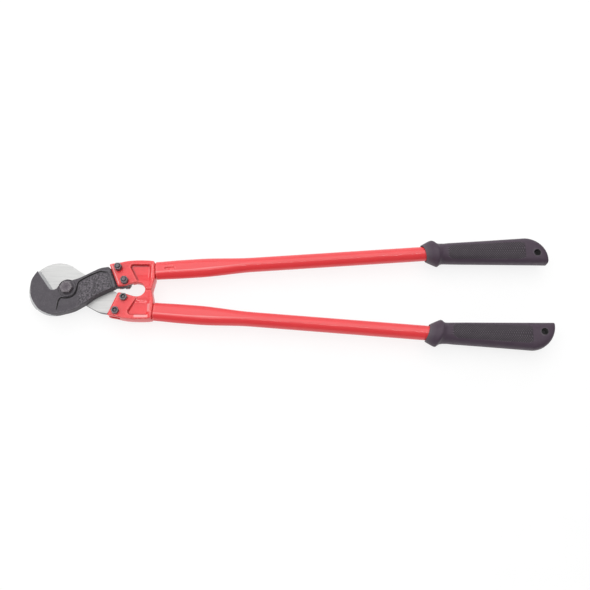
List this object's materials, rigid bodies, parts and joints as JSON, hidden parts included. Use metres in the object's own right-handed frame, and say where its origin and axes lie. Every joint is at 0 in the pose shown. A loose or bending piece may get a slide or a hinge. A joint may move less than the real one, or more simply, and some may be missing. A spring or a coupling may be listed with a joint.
{
  "type": "long-handled cable cutter",
  "caption": "Two-handed cable cutter: hooked overlapping blades on one pivot bolt, bolted to cast brackets, red steel tube handles and black rubber grips.",
  "frame": {"origin": "on the pivot axis, at the flat rear end face of the pivot bolt, the plane that the tool rests on", "axes": "+X along the closed tool's centre line from the pivot to the grips, +Y towards the front blade's grip, +Z along the pivot axis to the bolt head"},
  "size_m": [0.6136, 0.1372, 0.0389],
  "materials": {
    "blade_steel": "black oxide forged outer face, bright ground cutting face",
    "bracket_paint": "satin powder coat on a casting",
    "tube_paint": "gloss enamel",
    "grip_rubber": "matte moulded rubber with a fine diamond knurl",
    "black_fastener": "black oxide"
  },
  "bodies": {
    "upper_half": {"front_blade": "blade_steel", "upper_bracket": "bracket_paint", "upper_tube": "tube_paint", "upper_grip": "grip_rubber", "upper_outer_bolt": "black_fastener", "upper_outer_spring_washer": "black_fastener", "upper_outer_nut": "black_fastener", "upper_inner_bolt": "black_fastener", "upper_inner_spring_washer": "black_fastener", "upper_inner_nut": "black_fastener", "pivot_bolt": "black_fastener", "pivot_washer": "black_fastener", "pivot_spring_washer": "black_fastener", "pivot_nut": "black_fastener"},
    "lower_half": {"rear_blade": "blade_steel", "lower_bracket": "bracket_paint", "lower_tube": "tube_paint", "lower_grip": "grip_rubber", "lower_outer_bolt": "black_fastener", "lower_outer_spring_washer": "black_fastener", "lower_outer_nut": "black_fastener", "lower_inner_bolt": "black_fastener", "lower_inner_spring_washer": "black_fastener", "lower_inner_nut": "black_fastener"}
  },
  "joints": [
    {"name": "jaw_pivot", "type": "hinge", "parent": "upper_half", "child": "lower_half", "pos_m": [0, 0, 0.02285], "axis": [0, 0, -1], "range_deg": [0, 105]}
  ]
}
